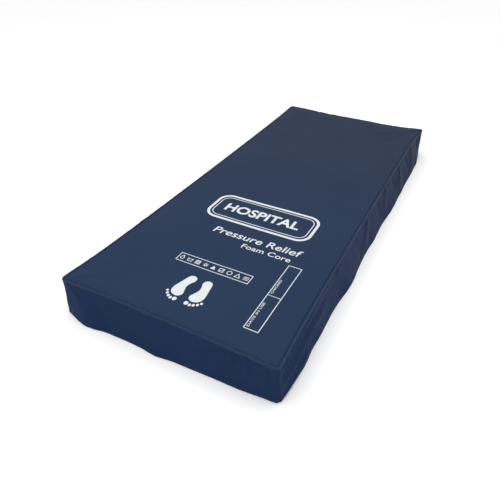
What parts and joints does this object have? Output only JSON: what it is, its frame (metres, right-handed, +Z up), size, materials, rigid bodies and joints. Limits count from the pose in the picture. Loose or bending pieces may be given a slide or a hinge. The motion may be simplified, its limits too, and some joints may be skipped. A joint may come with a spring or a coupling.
{
  "type": "pressure relief mattress",
  "caption": "Hospital pressure relief mattress: castellated foam insert gliding in a U-shaped foam core, inside a dark blue coated-fabric cover zipped behind hanging side flaps.",
  "frame": {"origin": "on the floor plane under the middle of the mattress, at the centre of the underside", "axes": "+X across the mattress, +Y along it towards the head end, +Z up; the printed foot end is at -Y"},
  "size_m": [0.85, 1.97, 0.152],
  "materials": {
    "cover_fabric": "satin",
    "seam_binding": "satin",
    "seam_tape": "matte",
    "base_fabric": "matte",
    "zip_tape": "matte",
    "zip_coil": "satin",
    "slider_metal": "satin",
    "core_foam": "matte",
    "side_foam": "matte",
    "insert_foam": "matte",
    "glide_fabric": "satin",
    "white_print": "matte"
  },
  "bodies": {
    "base": {"base_panel": "base_fabric", "base_wall": "base_fabric", "lower_zip_tape": "zip_tape", "lower_zip_coil": "zip_coil", "zip_end_stops": "zip_coil", "u_core_base": "core_foam", "u_core_side_left": "side_foam", "u_core_side_right": "side_foam", "lower_glide_sheet": "glide_fabric"},
    "insert": {"castellated_insert": "insert_foam", "upper_glide_sheet": "glide_fabric"},
    "top_cover": {"cover_top_panel": "cover_fabric", "top_edge_binding": "seam_binding", "corner_seam_tapes": "seam_tape", "upper_zip_tape": "zip_tape", "upper_zip_coil": "zip_coil", "care_label": "white_print", "border_foot": "cover_fabric", "border_head": "cover_fabric", "border_left": "cover_fabric", "border_right": "cover_fabric"},
    "flap_foot": {"flap_foot": "cover_fabric"},
    "flap_head": {"flap_head": "cover_fabric"},
    "flap_left": {"flap_left": "cover_fabric"},
    "flap_right": {"flap_right": "cover_fabric"},
    "slider_right": {"zip_slider_right": "slider_metal"},
    "slider_foot": {"zip_slider_foot": "slider_metal"},
    "pull_right": {"zip_pull_right": "slider_metal"},
    "pull_foot": {"zip_pull_foot": "slider_metal"}
  },
  "joints": [
    {"name": "cover_lift", "type": "slide", "parent": "base", "child": "top_cover", "axis": [0, 0, 1], "range_m": [0, 0.25]},
    {"name": "insert_glide", "type": "slide", "parent": "base", "child": "insert", "axis": [0, 1, 0], "range_m": [-0.02, 0.02]},
    {"name": "flap_foot_lift", "type": "hinge", "parent": "top_cover", "child": "flap_foot", "pos_m": [0, -0.985, 0.062], "axis": [-1, 0, 0], "range_deg": [0, 135]},
    {"name": "flap_head_lift", "type": "hinge", "parent": "top_cover", "child": "flap_head", "pos_m": [0, 0.985, 0.062], "axis": [1, 0, 0], "range_deg": [0, 135]},
    {"name": "flap_left_lift", "type": "hinge", "parent": "top_cover", "child": "flap_left", "pos_m": [-0.425, 0, 0.062], "axis": [0, 1, 0], "range_deg": [0, 135]},
    {"name": "flap_right_lift", "type": "hinge", "parent": "top_cover", "child": "flap_right", "pos_m": [0.425, 0, 0.062], "axis": [0, -1, 0], "range_deg": [0, 135]},
    {"name": "slider_right_travel", "type": "slide", "parent": "base", "child": "slider_right", "axis": [0, 1, 0], "range_m": [0, 1.86]},
    {"name": "slider_foot_travel", "type": "slide", "parent": "base", "child": "slider_foot", "axis": [-1, 0, 0], "range_m": [0, 0.74]},
    {"name": "pull_right_swing", "type": "hinge", "parent": "slider_right", "child": "pull_right", "pos_m": [0.4217, -0.93, 0.045], "axis": [0, 0, 1], "range_deg": [0, 81]},
    {"name": "pull_foot_swing", "type": "hinge", "parent": "slider_foot", "child": "pull_foot", "pos_m": [0.37, -0.9817, 0.045], "axis": [0, 0, 1], "range_deg": [0, 81]}
  ],
  "couplings": [
    {"joint": "pull_right_swing", "follows": "flap_right_lift", "ratio": 0.6},
    {"joint": "pull_foot_swing", "follows": "flap_foot_lift", "ratio": 0.6}
  ]
}
